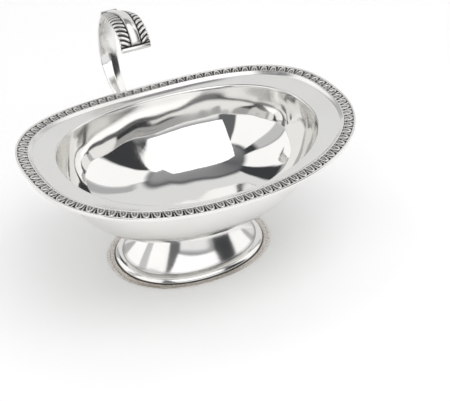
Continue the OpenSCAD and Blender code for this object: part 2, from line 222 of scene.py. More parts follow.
def oval_wall_tree():
    """Draws a profile round an oval. A station of the profile is a point: its place holds half
    the oval's length, half its width and the height, and its form holds fullness, inset and lift."""
    inputs = [("Stations", "Geometry"), ("Columns", "Int"), ("Rim half length", "Float"),
              ("End rise", "Float"), ("Finish", "Material")]
    tree, given, made = new_tree("wall_round_an_oval", inputs)
    rows = wire_up(tree, "GeometryNodeAttributeDomainSize", None, {0: given["Stations"]})
    rows = rows.outputs["Point Count"]
    grid = wire_up(tree, "GeometryNodeMeshGrid", None, {
        "Size X": 1.0, "Size Y": 1.0, "Vertices Y": rows,
        "Vertices X": work(tree, "ADD", given["Columns"], 1.0),
    })
    where = tree.nodes.new("GeometryNodeInputPosition").outputs[0]
    spot = wire_up(tree, "ShaderNodeSeparateXYZ", None, {0: where})
    turn = work(tree, "MULTIPLY", work(tree, "ADD", spot.outputs["X"], 0.5), 2 * math.pi)
    row = work(tree, "MULTIPLY", work(tree, "ADD", spot.outputs["Y"], 0.5), work(tree, "SUBTRACT", rows, 1.0))
    row = work(tree, "ROUND", row)

    def station(source):
        sample = wire_up(tree, "GeometryNodeSampleIndex", {"data_type": "FLOAT_VECTOR"},
                         {"Geometry": given["Stations"], "Value": source, "Index": row})
        return sample.outputs[0]

    def named(name):
        kind = {"data_type": "FLOAT_VECTOR"}
        return wire_up(tree, "GeometryNodeInputNamedAttribute", kind, {"Name": name}).outputs[0]

    size = wire_up(tree, "ShaderNodeSeparateXYZ", None, {0: station(where)})
    form = wire_up(tree, "ShaderNodeSeparateXYZ", None, {0: station(named("form"))})
    x, y = oval_place(tree, turn, size.outputs["X"], size.outputs["Y"], form.outputs["X"], form.outputs["Y"])
    rise = given["Rim half length"], given["End rise"]
    z = raised_height(tree, x, size.outputs["Z"], form.outputs["Z"], *rise)
    place = wire_up(tree, "ShaderNodeCombineXYZ", None, {"X": x, "Y": y, "Z": z})
    kept = wire_up(tree, "GeometryNodeStoreNamedAttribute", {"data_type": "FLOAT_VECTOR"}, {
        "Geometry": grid.outputs["Mesh"], "Name": "finish", "Value": station(named("finish")),
    })
    kept = wire_up(tree, "GeometryNodeStoreNamedAttribute", {"data_type": "FLOAT2", "domain": "CORNER"}, {
        "Geometry": kept.outputs[0], "Name": "UVMap", "Value": grid.outputs["UV Map"],
    })
    moved = {"Geometry": kept.outputs[0], "Position": place.outputs[0]}
    moved = wire_up(tree, "GeometryNodeSetPosition", None, moved)
    closed = {"Geometry": moved.outputs[0], "Distance": 2e-6}
    closed = wire_up(tree, "GeometryNodeMergeByDistance", None, closed)
    smooth = wire_up(tree, "GeometryNodeSetShadeSmooth", None, {"Geometry": closed.outputs[0]})
    real = wire_up(tree, "GeometryNodeRealizeInstances", None, {"Geometry": smooth.outputs[0]})
    faced = {"Geometry": real.outputs[0], "Material": given["Finish"]}
    faced = wire_up(tree, "GeometryNodeSetMaterial", None, faced)
    tree.links.new(faced.outputs[0], made["Geometry"])
    return tree


def run_tree(piece, tree, settings):
    """Runs a geometry tree on a piece and keeps the result as a plain mesh."""
    modifier = piece.modifiers.new(tree.name, "NODES")
    modifier.node_group = tree
    sockets = {s.name: s.identifier for s in tree.interface.items_tree if s.in_out == "INPUT"}
    for label, value in settings.items():
        modifier[sockets[label]] = value
    bpy.context.view_layer.update()
    result = piece.evaluated_get(bpy.context.evaluated_depsgraph_get())
    mesh = bpy.data.meshes.new_from_object(result)
    piece.modifiers.clear()
    piece.data = mesh
    mesh.name = piece.name


def keep(piece, slot, *nodes):
    """Ties a finished piece to the object and hides the CAD pieces it stands for. Its slot is not used."""
    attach(piece, "root")
    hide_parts(*nodes)


wall_tree = oval_wall_tree()


def oval_piece(name, stations, columns, finish):
    """A piece drawn round an oval from stations, each a length, width, height, fullness, inset, lift, polish
    and darkening, which is tarnish in some places and painted shade in others."""
    mesh = bpy.data.meshes.new(name)
    mesh.from_pydata([s[0:3] for s in stations], [], [])
    layers = {"form": [s[3:6] for s in stations], "finish": [(*s[6:8], 0) for s in stations]}
    for label, values in layers.items():
        layer = mesh.attributes.new(label, "FLOAT_VECTOR", "POINT")
        layer.data.foreach_set("vector", [v for row in values for v in row])
    piece = bpy.data.objects.new(name, mesh)
    bpy.context.scene.collection.objects.link(piece)
    run_tree(piece, wall_tree, {
        "Columns": columns, "Rim half length": rim_length, "End rise": end_rise, "Finish": finish,
    })
    return piece


def silver(name, colour, roughness, tarnish_and_shade_colour, mirror_roughness=None, brush=(900, 900, 900), wave=0.0,
           speckle=0.0):
    """Silver with fine scratches and patches of softer polish. A piece's finish says where it is a mirror and
    where it is darkened, by real tarnish in some places and by painted shade in others. A wave is the depth
    in metres of the hammer's soft marks."""
    paint = bpy.data.materials.new(name)
    paint.use_nodes = True
    tree = paint.node_tree
    shader = tree.nodes["Principled BSDF"]
    shader.inputs["Metallic"].default_value = 1.0
    place = tree.nodes.new("ShaderNodeTexCoord").outputs["Object"]
    finish = wire_up(tree, "ShaderNodeAttribute", {"attribute_name": "finish"})
    parts = wire_up(tree, "ShaderNodeSeparateXYZ", None, {0: finish.outputs["Vector"]})
    mirror = parts.outputs["X"]
    tarnish_and_shade = parts.outputs["Y"]
    stretched = wire_up(tree, "ShaderNodeMapping", None, {"Vector": place, "Scale": brush})
    scratches = {"Vector": stretched.outputs[0], "Scale": 1.0, "Detail": 3.0}
    scratches = wire_up(tree, "ShaderNodeTexNoise", None, scratches)
    cloud = wire_up(tree, "ShaderNodeTexNoise", None, {"Vector": place, "Scale": 34.0, "Detail": 2.5})
    bloom = wire_up(tree, "ShaderNodeMapRange", None, {
        "Value": cloud.outputs["Fac"], "From Min": 0.35, "From Max": 0.75,
    })
    softer = work(tree, "ADD", roughness, work(tree, "MULTIPLY", bloom.outputs[0], 0.3 * roughness))
    if mirror_roughness is not None:
        glossier = work(tree, "ADD", mirror_roughness, work(tree, "MULTIPLY", bloom.outputs[0], 0.02))
        softer = {"Factor": mirror, "A": softer, "B": glossier}
        softer = wire_up(tree, "ShaderNodeMix", None, softer).outputs[0]
    marked = work(tree, "MULTIPLY", work(tree, "SUBTRACT", scratches.outputs["Fac"], 0.5), 0.5 * roughness)
    dull = work(tree, "MULTIPLY", tarnish_and_shade, 0.35)
    total = work(tree, "ADD", work(tree, "ADD", softer, marked), dull)
    tree.links.new(work(tree, "MAXIMUM", total, 0.015), shader.inputs["Roughness"])
    mottle = wire_up(tree, "ShaderNodeTexNoise", None, {"Vector": place, "Scale": 160.0, "Detail": 4.0})
    uneven = work(tree, "ADD", 0.75, work(tree, "MULTIPLY", mottle.outputs["Fac"], 0.5))
    depth = work(tree, "MULTIPLY", tarnish_and_shade, uneven)
    haze = work(tree, "MULTIPLY", bloom.outputs[0], 0.06)
    if speckle:
        spots = wire_up(tree, "ShaderNodeTexNoise", None, {"Vector": place, "Scale": 950.0, "Detail": 3.0})
        spots = step_up(tree, spots.outputs["Fac"], 0.42, 0.72)
        haze = work(tree, "ADD", haze, work(tree, "MULTIPLY", spots, speckle))
    mask = wire_up(tree, "ShaderNodeClamp", None, {"Value": work(tree, "ADD", depth, haze)})
    # The mix towards the dark colour stands for tarnish, and where the stations ask for it, for painted
    # shade.
    tint = wire_up(tree, "ShaderNodeMix", {"data_type": "RGBA"}, {
        "Factor": mask.outputs[0], "A": (*colour, 1), "B": (*tarnish_and_shade_colour, 1),
    })
    tree.links.new(tint.outputs["Result"], shader.inputs["Base Color"])
    fine = wire_up(tree, "ShaderNodeBump", None, {
        "Height": scratches.outputs["Fac"], "Strength": 0.05, "Distance": 0.0001,
    })
    last = fine
    if wave:
        hammered = wire_up(tree, "ShaderNodeTexNoise", None, {"Vector": place, "Scale": 30.0, "Detail": 0.5})
        last = wire_up(tree, "ShaderNodeBump", None, {
            "Height": hammered.outputs["Fac"], "Strength": 1.0, "Distance": wave, "Normal": fine.outputs[0],
        })
    tree.links.new(last.outputs[0], shader.inputs["Normal"])
    return paint


wire_low, wire_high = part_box("rim_edge_wire")
body_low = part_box("bowl_body")[0]
wire_width = 0.0013
wire_height = 0.0025
sheet = 0.001
rim_length = wire_high.x
rim_width = wire_high.y
rim_fullness = 2.4
rim_height = wire_low.z + sheet
end_rise = (wire_high.z - wire_low.z - wire_height) / (1 - wire_width / rim_length) ** 2
flange_end = 0.0219
flange_side = 0.0134
flange_fall = 0.00095
border_end = 0.0067
cove_end = 0.0092
mouth_height = rim_height - flange_fall
mouth_length = rim_length - flange_end
mouth_width = rim_width - flange_side
bowl_fullness = 2.2
wall_fullness = 2.4
bowl_depth = mouth_height - body_low.z
mouth_round = 0.0012
under_round = 0.0018
sheet_inset = 0.8 * wire_width


def rim_station(inset, height, polish=0.0, tarnish_and_shade=0.0):
    """A station of the rim, at an inset from its edge and a height over the flange."""
    return (rim_length, rim_width, rim_height + height, rim_fullness, inset, 1.0, polish, tarnish_and_shade)


def mouth_station(out, height, polish=0.0):
    """A station near the bowl's mouth, at a distance out from it and a height over it."""
    place = mouth_length + out, mouth_width + out, mouth_height + height
    return (*place, bowl_fullness, 0.0, 1.0, polish, 0.0)


def wall_station(thickness, angle, polish):
    """A station of the bowl's wall at an angle from 0 at the mouth to a quarter turn at the bottom."""
    share = max(math.cos(angle), 0.0) ** (2 / wall_fullness)
    fall = math.sin(angle) ** (2 / wall_fullness)
    length = share * (mouth_length + thickness)
    width = share * (mouth_width + thickness)
    height = mouth_height - (bowl_depth - sheet + thickness) * fall
    return (max(length, 1e-7), max(width, 1e-7), height, bowl_fullness, 0.0, 1.0 - fall, polish, 0.0)


def wall_start(depth, drop):
    """The angle at which the wall has dropped by a given height."""
    return math.asin((drop / depth) ** (wall_fullness / 2))


def spread(low, high, count):
    """Evenly spaced values from low to high."""
    return [low + (high - low) * k / (count - 1) for k in range(count)]


outer_start = wall_start(bowl_depth, sheet + under_round)
inner_start = wall_start(bowl_depth - sheet, mouth_round)
quarter = math.pi / 2
body_stations = [wall_station(sheet, a, 0.0) for a in spread(quarter, outer_start, 40)]
body_stations += [
    mouth_station(sheet + under_round * (1 - math.cos(a)), -sheet - under_round * (1 - math.sin(a)))
    for a in spread(0.2, quarter, 6)
]
body_stations += [rim_station(cove_end, -sheet), rim_station(sheet_inset, -sheet)]
body_stations += [rim_station(sheet_inset, 0), rim_station(cove_end - 0.0002, 0)]
for share in spread(0.04, 1.0, 9):
    body_stations.append((
        rim_length + (mouth_length + mouth_round - rim_length) * share,
        rim_width + (mouth_width + mouth_round - rim_width) * share,
        rim_height - flange_fall * math.sin(share * quarter),
        rim_fullness + (bowl_fullness - rim_fullness) * share,
        cove_end * (1 - share), 1.0, 0.0, 0.0,
    ))
body_stations += [
    mouth_station(mouth_round * (1 - math.sin(a)), -mouth_round * (1 - math.cos(a)), 0.4 * a / quarter)
    for a in spread(0.2, quarter, 7)
]
for a in spread(inner_start + 0.01, quarter, 48):
    body_stations.append(wall_station(0.0, a, min(0.35 + 1.6 * math.sin(a), 1.0)))
body_silver = silver(
    "bowl_silver", (0.83, 0.825, 0.81), 0.16, (0.45, 0.41, 0.36), mirror_roughness=0.035,
    brush=(500, 1400, 900), wave=0.0021,
)
bowl_body = oval_piece("bowl_body_sheet", body_stations, 288, body_silver)
keep(bowl_body, "polished_silver", "bowl_body")


# Rim wire: a drawn wire, flattened to a rounded strip and soldered round the flange's edge.
# It is the part of the rim that fingers rub. Its underside is darkened a little with painted shade, so its
# top looks the brightest.
wire_stations = []
for a in spread(0, 2 * math.pi, 25):
    side = math.copysign(abs(math.cos(a)) ** 0.6, math.cos(a))
    up = math.copysign(abs(math.sin(a)) ** 0.6, math.sin(a))
    # The last value darkens the wire's underside with painted shade.
    wire_stations.append(rim_station(
        wire_width / 2 * (1 - side), wire_height / 2 * (1 + up) - sheet, 0.6, 0.1 * max(-up, 0.0),
    ))
wire_silver = silver("rim_wire_silver", (0.86, 0.85, 0.83), 0.14, (0.4, 0.36, 0.31), mirror_roughness=0.1)
rim_wire = oval_piece("rim_edge_wire_bead", wire_stations, 288, wire_silver)
keep(rim_wire, "polished_silver", "rim_edge_wire")


# Border: a strip struck in a die with 88 round-tipped leaves side by side, a dart between each
# pair, bent round and soldered inside the wire. Its ground has gone nearly black.
leaf_count = 88
border_width = border_end - wire_width
border_height = 0.0015
ground_height = 0.0006
unit_columns = 26
unit_rows = 22
arch_half = 0.66
arch_base = 0.1
arch_length = 0.86


def bump_shape(distance, width):
    """A rounded ridge: 1 on its line, falling to 0 at its width."""
    return math.cos(min(abs(distance) / width, 1.0) * quarter)


def border_relief(across, out):
    """Height and tarnish of the struck pattern: across runs from -1 to 1 over one leaf, and out from its base
    at the inner edge, 0, to its tip, 1."""
    half = arch_half * max(1 - (max(out - arch_base, 0) / arch_length) ** 2.4, 0.0) ** 0.5
    edge = abs(across) - half
    outline = bump_shape(edge + 0.1, 0.15) if half > 0.25 else 0.0
    tip = math.hypot(across / arch_half, (out - arch_base) / arch_length)
    if out > 0.35:
        outline = max(outline, bump_shape(tip - 0.86, 0.19))
    bud = 0.8 * bump_shape(math.hypot(across / 0.17, (out - 0.3) / 0.42), 1.0)
    lobes = 0.6 * bump_shape(math.hypot((abs(across) - 0.34) / 0.1, (out - 0.5) / 0.3), 1.0)
    dart_width = 0.03 + 0.17 * out
    dart = 0.9 * bump_shape(1.0 - abs(across), dart_width) if out > 0.3 else 0.0
    link = 0.5 * bump_shape(out - arch_base, 0.1)
    lip = 0.45 * bump_shape(out - 1.0, 0.07)
    bed = 0.22 if edge < -0.1 else 0.0
    height = max(outline, bud, lobes, dart, link, lip, bed)
    return height, min(max(1.15 - 1.5 * height, 0.0), 1.0)


def border_unit():
    """One leaf of the strip with a half dart at each side, one unit long, open at both ends."""
    profile = [(0.0, "low"), *[(k / unit_rows, "top") for k in range(unit_rows + 1)]]
    profile += [(1.0, "low"), (0.0, "low")]
    vertices = []
    relief = []
    for i in range(unit_columns + 1):
        across = 2 * i / unit_columns - 1
        for share, level in profile:
            height, tarnish_and_shade = border_relief(across, 1 - share)
            rise = ground_height + (border_height - ground_height) * height
            rise = rise if level == "top" else 0.0
            vertices.append((i / unit_columns, wire_width + border_width * share, rise))
            relief.append((0.0, tarnish_and_shade, 0.0))
    rows = len(profile)
    faces = [
        (i * rows + j, (i + 1) * rows + j, (i + 1) * rows + j + 1, i * rows + j + 1)
        for i in range(unit_columns) for j in range(rows - 1)
    ]
    mesh = bpy.data.meshes.new("border_unit")
    mesh.from_pydata(vertices, [], faces)
    layer = mesh.attributes.new("finish", "FLOAT_VECTOR", "POINT")
    layer.data.foreach_set("vector", [v for row in relief for v in row])
    return mesh


def strip_tree():
    """Lays copies of a unit end to end round the rim. A unit's X is its share of one pitch, its Y
    the inset from the rim's edge and its Z the height over the flange."""
    inputs = [("Unit", "Geometry"), ("Count", "Int"), ("Rim half length", "Float"),
              ("Rim half width", "Float"), ("Fullness", "Float"), ("Rim height", "Float"),
              ("End rise", "Float"), ("Middle inset", "Float"), ("Finish", "Material")]
    tree, given, made = new_tree("strip_round_the_rim", inputs)
    row = wire_up(tree, "GeometryNodeMeshLine", None, {"Count": given["Count"], "Offset": (1, 0, 0)})
    copies = {"Points": row.outputs[0], "Instance": given["Unit"]}
    copies = wire_up(tree, "GeometryNodeInstanceOnPoints", None, copies)
    real = wire_up(tree, "GeometryNodeRealizeInstances", None, {"Geometry": copies.outputs[0]})
    path_steps = 2048
    ring = {"Count": path_steps + 1, "Offset": (1 / path_steps, 0, 0)}
    ring = wire_up(tree, "GeometryNodeMeshLine", None, ring)
    where = tree.nodes.new("GeometryNodeInputPosition").outputs[0]
    spot = wire_up(tree, "ShaderNodeSeparateXYZ", None, {0: where})
    turn = work(tree, "MULTIPLY", spot.outputs["X"], 2 * math.pi)
    half_sizes = given["Rim half length"], given["Rim half width"]
    x, y = oval_place(tree, turn, *half_sizes, given["Fullness"], given["Middle inset"])
    on_oval = wire_up(tree, "ShaderNodeCombineXYZ", None, {"X": x, "Y": y})
    bent = {"Geometry": ring.outputs[0], "Position": on_oval.outputs[0]}
    bent = wire_up(tree, "GeometryNodeSetPosition", None, bent)
    path = wire_up(tree, "GeometryNodeMeshToCurve", None, {0: bent.outputs[0]})
    share = work(tree, "DIVIDE", spot.outputs["X"], given["Count"])
    sample = {"Curves": path.outputs[0], "Factor": share}
    sample = wire_up(tree, "GeometryNodeSampleCurve", {"mode": "FACTOR", "use_all_curves": True}, sample)
    at = wire_up(tree, "ShaderNodeSeparateXYZ", None, {0: sample.outputs["Position"]})
    ahead = wire_up(tree, "ShaderNodeSeparateXYZ", None, {0: sample.outputs["Tangent"]})
    inward = work(tree, "SUBTRACT", spot.outputs["Y"], given["Middle inset"])
    px = work(tree, "SUBTRACT", at.outputs["X"], work(tree, "MULTIPLY", ahead.outputs["Y"], inward))
    py = work(tree, "ADD", at.outputs["Y"], work(tree, "MULTIPLY", ahead.outputs["X"], inward))
    base = work(tree, "ADD", given["Rim height"], spot.outputs["Z"])
    pz = raised_height(tree, px, base, 1.0, given["Rim half length"], given["End rise"])
    place = wire_up(tree, "ShaderNodeCombineXYZ", None, {"X": px, "Y": py, "Z": pz})
    laid = {"Geometry": real.outputs[0], "Position": place.outputs[0]}
    laid = wire_up(tree, "GeometryNodeSetPosition", None, laid)
    joined = {"Geometry": laid.outputs[0], "Distance": 2e-5}
    joined = wire_up(tree, "GeometryNodeMergeByDistance", None, joined)
    smooth = wire_up(tree, "GeometryNodeSetShadeSmooth", None, {"Geometry": joined.outputs[0]})
    faced = {"Geometry": smooth.outputs[0], "Material": given["Finish"]}
    faced = wire_up(tree, "GeometryNodeSetMaterial", None, faced)
    tree.links.new(faced.outputs[0], made["Geometry"])
    return tree


border_silver = silver("border_silver", (0.84, 0.83, 0.81), 0.22, (0.035, 0.03, 0.026))
border = bpy.data.objects.new("rim_border_leaves", border_unit())
bpy.context.scene.collection.objects.link(border)
run_tree(border, strip_tree(), {
    "Count": leaf_count, "Rim half length": rim_length, "Rim half width": rim_width,
    "Fullness": rim_fullness, "Rim height": rim_height, "End rise": end_rise,
    "Middle inset": (wire_width + border_end) / 2, "Finish": border_silver,
})
keep(border, "oxidised_silver", "rim_border")


# Cove moulding: a drawn strip with a flat top and a hollow face, soldered along the border's
# inner side, so that the border falls smoothly to the flange.
cove_flat = 0.0005
cove_lip = 0.00004
cove_corner = 0.00015
cove_stations = [rim_station(border_end, 0.0), rim_station(border_end, border_height - cove_corner)]
cove_stations.append(rim_station(border_end + cove_corner, border_height))
cove_stations.append(rim_station(border_end + cove_flat, border_height))
for a in spread(0.1, quarter, 8):
    inset = border_end + cove_flat + (cove_end - border_end - cove_flat) * math.sin(a)
    hollow = (1 - math.sin(a)) * max(math.cos(a), 0.0) ** 0.3
    cove_stations.append(rim_station(inset, cove_lip + (border_height - cove_lip) * hollow))
cove_stations += [rim_station(cove_end, 0.0), rim_station(border_end, 0.0)]
cove_silver = silver("cove_silver", (0.85, 0.845, 0.83), 0.18, (0.4, 0.36, 0.31))
cove = oval_piece("rim_cove_strip", cove_stations, 288, cove_silver)
keep(cove, "polished_silver", "rim_cove_moulding")


# Foot flange: a flat oval ring cut from sheet, with a rounded edge and a low step along it. It
# stands on the table and its matt face has gone brownish grey.
foot_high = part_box("foot_flange")[1]
foot_length = foot_high.x
foot_width = foot_high.y
foot_fullness = 2.15
flange_thick = foot_high.z
step_end = 0.0051
step_side = 0.0032
step_length = foot_length - step_end
step_width = foot_width - step_side
moulding_width = 0.0045


def foot_station(share, height, tarnish_and_shade=0.0, polish=0.0):
    """A station between the foot's edge, share 0, and the step under the moulding, share 1."""
    length = foot_length + (step_length - foot_length) * share
    width = foot_width + (step_width - foot_width) * share
    return (length, width, height, foot_fullness, 0.0, 0.0, polish, tarnish_and_shade)


def moulding_station(out, height, tarnish_and_shade=0.0, polish=1.0):
    """A station measured out from the place where the pedestal meets the moulding."""
    inner = moulding_width - out
    return (step_length - inner, step_width - inner, height, foot_fullness, 0.0, 0.0, polish, tarnish_and_shade)


edge_fall = 0.0002
edge_share = 0.07
edge_start = 0.3
flange_stations = [moulding_station(0.0, 0.0), moulding_station(0.0, flange_thick - edge_fall)]
# Shares from the step out to the edge, each with its fall below the flange's top and its darkening: the dark
# band at the step is painted shade in the corner under the moulding, and the lighter darkening further out is
# tarnish.
flange_profile = [(1.0, edge_fall, 1.0), (0.93, 0.00015, 0.9), (0.86, 0.0, 0.25), (0.5, 0.0, 0.1)]
flange_profile += [(0.44, 0.00002, 0.2), (0.4, 0.00014, 0.5), (0.36, 0.00016, 0.2), (0.1, edge_fall, 0.05)]
flange_stations += [foot_station(share, flange_thick - fall, tarnish_and_shade) for share, fall, tarnish_and_shade in flange_profile]
flange_stations += [
    foot_station(edge_share * (1 - math.sin(a)), (flange_thick - edge_fall) * (0.5 + 0.5 * math.cos(a)))
    for a in spread(edge_start, math.pi - edge_start, 8)
]
flange_stations += [foot_station(0.1, 0.0), moulding_station(0.0, 0.0)]
flange_stations.reverse()
foot_silver = silver(
    "foot_flange_silver", (0.8, 0.76, 0.715), 0.17, (0.14, 0.11, 0.088),
    brush=(400, 400, 400), speckle=0.36,
)
foot_flange = oval_piece("foot_flange_ring", flange_stations, 240, foot_silver)
keep(foot_flange, "satin_silver", "foot_flange")


# Foot moulding: a half-round strip bent to the oval and soldered on the flange. The corner at its outer side
# is darkened with painted shade.
moulding_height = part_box("foot_roll_moulding")[1].z
moulding_stations = [moulding_station(0.0, flange_thick)]
# Painted shade darkens the outer foot of the moulding, where it meets the flange.
moulding_stations.append(moulding_station(moulding_width, flange_thick, 1.0, 0.3))
for a in spread(0.12, quarter, 12):
    out = moulding_width * math.cos(a)
    height = flange_thick + (moulding_height - flange_thick) * math.sin(a)
    moulding_stations.append(moulding_station(out, height, max(1 - 5 * a, 0.0) * 0.9))
moulding_stations.append(moulding_station(0.0, flange_thick))
pedestal_silver = silver(
    "pedestal_silver", (0.86, 0.852, 0.835), 0.2, (0.09, 0.08, 0.07), mirror_roughness=0.12, wave=0.0006,
)
foot_moulding = oval_piece("foot_roll_strip", moulding_stations, 240, pedestal_silver)
keep(foot_moulding, "polished_silver", "foot_roll_moulding")


# Pedestal: a band of sheet seamed into a tube and hammered out to a flare, hollow inside, which
# lifts the bowl off its foot.
neck_length = 0.0275
neck_width = neck_length * (mouth_width + sheet) / (mouth_length + sheet)
neck_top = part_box("foot_pedestal")[1].z
flare_length = step_length - moulding_width
flare_width = step_width - moulding_width
flare_turn_out = 0.22
flare_turn_down = 0.58


def flare_station(t, depth):
    """A station of the flare from 0 at the neck to 1 at the moulding, at a depth in the sheet."""
    out = 2 * t * (1 - t) * flare_turn_out + t * t
    down = 2 * t * (1 - t) * flare_turn_down + t * t
    drop = neck_top - moulding_height
    across = drop * (2 * flare_turn_down * (1 - 2 * t) + 2 * t)
    upward = (flare_length - neck_length) * (2 * flare_turn_out * (1 - 2 * t) + 2 * t)
    lean = Vector((across, upward)).normalized()
    if t in (0, 1):
        lean = Vector((1 - t, t))
    return (
        neck_length + (flare_length - neck_length) * out - depth * lean.x,
        neck_width + (flare_width - neck_width) * out - depth * lean.x,
        neck_top - drop * down - depth * lean.y,
        bowl_fullness + (foot_fullness - bowl_fullness) * out, 0.0, 0.0, 1.0 if depth == 0 else 0.0,
        0.5 * max(down - 0.93, 0) / 0.07,
    )


flare_stations = [flare_station(t, 0.0) for t in spread(1, 0, 30)]
flare_stations += [flare_station(t, sheet) for t in spread(0, 1, 22)]
flare_stations.append(flare_station(1, 0.0))
pedestal = oval_piece("foot_pedestal_flare", flare_stations, 240, pedestal_silver)
keep(pedestal, "polished_silver", "foot_pedestal")


# Neck collar: a rounded ring that hides and strengthens the solder joint between the pedestal
# and the underside of the bowl.
collar_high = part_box("foot_neck_collar")[1]
collar_bulge = collar_high.x - neck_length
collar_angle = math.acos((neck_length / (mouth_length + sheet)) ** (wall_fullness / 2))
collar_top = wall_station(sheet, collar_angle, 0.4)
collar_stations = []
for a in spread(-quarter, quarter, 13):
    out = collar_bulge * math.cos(a)
    height = neck_top + (collar_top[2] - neck_top) * (0.5 + 0.5 * math.sin(a))
    collar_stations.append((
        neck_length + out, neck_width + out, height, bowl_fullness, 0.0, collar_top[5] if a > 0 else 0.0,
        0.4, 0.5 * abs(math.sin(a)) ** 6,
    ))
collar_inner = 2 * sheet
for height in (collar_high.z - 0.0006, neck_top):
    inner = neck_length - collar_inner, neck_width - collar_inner
    collar_stations.append((*inner, height, bowl_fullness, 0.0, 0.0, 0.0, 0.6))
collar_stations.append(collar_stations[0])
collar = oval_piece("foot_neck_ring", collar_stations, 200, pedestal_silver)
keep(collar, "polished_silver", "foot_neck_collar")


# Handle strap: a forged bar, planished flat with both its edges bevelled, bent by hand to an open
# bow, with a slight twist, and soldered to a plate on the bowl's wall. Its middle face narrows
# to a ridge at the lower end.
def bezier(points, t):
    """The point at a share t of a curve with four control points."""
    a, b, c, d = points
    return (1 - t) ** 3 * a + 3 * t * (1 - t) ** 2 * b + 3 * t * t * (1 - t) * c + t ** 3 * d


def grid_piece(name, rows, finish):
    """A solid drawn through rows of points, each row a closed ring of (point, polish, darkening by tarnish
    and painted shade).
    """
    count = len(rows[0])
    vertices = [p for row in rows for p, _, _ in row]
    finishes = [(polish, tarnish_and_shade, 0.0) for row in rows for _, polish, tarnish_and_shade in row]
    faces = [
        (r * count + k, r * count + (k + 1) % count, (r + 1) * count + (k + 1) % count, (r + 1) * count + k)
        for r in range(len(rows) - 1) for k in range(count)
    ]
    faces.append(tuple(range(count - 1, -1, -1)))
    faces.append(tuple(range((len(rows) - 1) * count, len(rows) * count)))
    mesh = bpy.data.meshes.new(name)
    mesh.from_pydata(vertices, [], faces)
    layer = mesh.attributes.new("finish", "FLOAT_VECTOR", "POINT")
    layer.data.foreach_set("vector", [v for row in finishes for v in row])
    mesh.polygons.foreach_set("use_smooth", [True] * len(mesh.polygons))
    mesh.materials.append(finish)
    piece = bpy.data.objects.new(name, mesh)
    bpy.context.scene.collection.objects.link(piece)
    return piece


def middle(node):
    """The middle of a CAD piece's box."""
    low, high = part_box(node)
    return (low + high) / 2


roll_middle = middle("handle_roll")
roll_spot = Vector((roll_middle.y, roll_middle.z))
bow_out = 0.0054
bow_up = 0.0142
bow_spot = Vector((rim_width + bow_out, rim_height + bow_up))
bow_radius = 0.0383
bow_growth = 0.000025
bow_low_angle = -56
bow_high_angle = math.degrees(math.atan2(roll_spot.y - bow_spot.y, roll_spot.x - bow_spot.x))
plate_drop = 0.0174
plate_thick = 0.0016


def wall_reach(x, z):
    """How far the bowl's outside lies from the long axis at a distance x and a height z."""
    rise = end_rise * (x / rim_length) ** 2
    fall = (mouth_height + rise - z) / (bowl_depth + rise)
    share = (1 - fall ** wall_fullness) ** (1 / wall_fullness)
    rest = share ** bowl_fullness - (abs(x) / (mouth_length + sheet)) ** bowl_fullness
    return (mouth_width + sheet) * rest ** (1 / bowl_fullness)


def bow_spot_at(angle):
    """The strap's middle line on its bow, whose radius grows a little with the angle in degrees."""
    radius = bow_radius + bow_growth * angle
    return bow_spot + radius * Vector((math.cos(math.radians(angle)), math.sin(math.radians(angle))))


plate_root = Vector((wall_reach(0, mouth_height - plate_drop), mouth_height - plate_drop))
wall_lean = wall_reach(0, plate_root.y + 0.001) - wall_reach(0, plate_root.y - 0.001)
plate_up = Vector((wall_lean, 0.002)).normalized()
plate_out = Vector((plate_up.y, -plate_up.x))
plate_face = plate_root + plate_thick * plate_out
bow_low = bow_spot_at(bow_low_angle)
low_turn = math.radians(bow_low_angle)
bow_pull = 0.020
plate_pull = 0.012
tail = (
    bow_low, bow_low + bow_pull * Vector((math.sin(low_turn), -math.cos(low_turn))),
    plate_face + plate_pull * plate_out, plate_face,
)
strap_line = [(bezier(tail, t), bow_low_angle) for t in spread(1.0, 0.0, 30)[:-1]]
strap_line += [(bow_spot_at(a), a) for a in spread(bow_low_angle, bow_high_angle, 60)]
strap_wide = 0.0126
strap_top = 0.0102
strap_foot = 0.0084
strap_thick = 0.003
strap_twist = math.radians(7)
face_wide = 0.42
face_narrow = 0.06
face_start = -14
face_end = -46


def strap_section(face):
    """Points round the strap as shares of half its width and thickness: a crowned face on each
    side, with a bevel at each of its edges and a narrow flat between the bevels."""
    edge = 0.3
    crown = 0.04
    corner_round = 0.2
    corners = [(1, -edge), (1, edge), (face, 1 - crown), (-face, 1 - crown)]
    corners += [(-x, -y) for x, y in corners]
    ring = []
    for k, corner in enumerate(corners):
        before = corners[k - 1]
        after = corners[(k + 1) % len(corners)]
        start = [c + (b - c) * corner_round for c, b in zip(corner, before)]
        end = [c + (a - c) * corner_round for c, a in zip(corner, after)]
        for t in (0.05, 0.3, 0.5, 0.7, 0.95):
            shares = (1 - t) ** 2, 2 * t * (1 - t), t * t
            ring.append([
                shares[0] * s + shares[1] * c + shares[2] * e for s, c, e in zip(start, corner, end)
            ])
        if abs(corner[0]) == face and corner[0] * corner[1] > 0:
            turn = math.copysign(1, corner[1])
            for share in (0.5, 0.25, 0.0, -0.25, -0.5):
                ring.append([turn * face * share, turn * (1 - crown * (share ** 2))])
    return ring


def turned(line, k):
    """The direction of a line of points at its point k."""
    return (line[min(k + 1, len(line) - 1)] - line[max(k - 1, 0)]).normalized()


